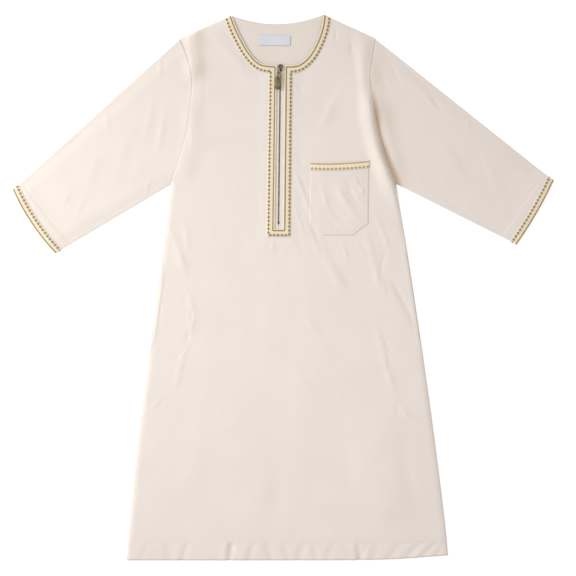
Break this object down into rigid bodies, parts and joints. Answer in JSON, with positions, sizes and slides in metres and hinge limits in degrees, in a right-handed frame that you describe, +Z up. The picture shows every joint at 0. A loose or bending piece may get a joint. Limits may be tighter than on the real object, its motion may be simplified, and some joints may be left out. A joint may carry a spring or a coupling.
{
  "type": "thobe robe",
  "caption": "Child's long loose robe with set-in sleeves, zip neck, chest pocket and gold braid, lying flat.",
  "frame": {"origin": "on the surface the robe lies on, under the middle of its box", "axes": "+Z up, out of the front of the robe; +Y from the hem to the neck; +X towards the wearer's left sleeve"},
  "size_m": [0.8665, 0.8726, 0.0094],
  "materials": {
    "cloth": "fine plain weave, matt with a faint sheen",
    "pocket_lining": "thin plain weave, matt",
    "gold_braid": "cream ground with raised antique gold thread",
    "zip_tape": "woven twill tape",
    "zip_teeth": "antique, dark in the recesses",
    "antique_brass": "antique, rubbed brighter on raised edges",
    "label": "damask woven, satin"
  },
  "bodies": {
    "robe": {"back_panel": "cloth", "front_panel": "cloth", "sleeve_right": "cloth", "sleeve_left": "cloth", "chest_pocket": "cloth", "side_bag_right": "pocket_lining", "side_bag_left": "pocket_lining", "neck_braid": "gold_braid", "pocket_braid": "gold_braid", "cuff_braid_right": "gold_braid", "cuff_braid_left": "gold_braid", "zip_tape_right": "zip_tape", "zip_tape_left": "zip_tape", "zip_chain": "zip_teeth", "zip_bottom_stop": "antique_brass", "zip_slider": "antique_brass", "neck_label": "label"},
    "pull_tab": {"zip_pull": "antique_brass"}
  },
  "joints": [
    {"name": "pull_tab_lift", "type": "hinge", "parent": "robe", "child": "pull_tab", "pos_m": [-0.00402, 0.3501, 0.00755], "axis": [-0.9871, 0.16, 0], "range_deg": [0, 165]}
  ]
}
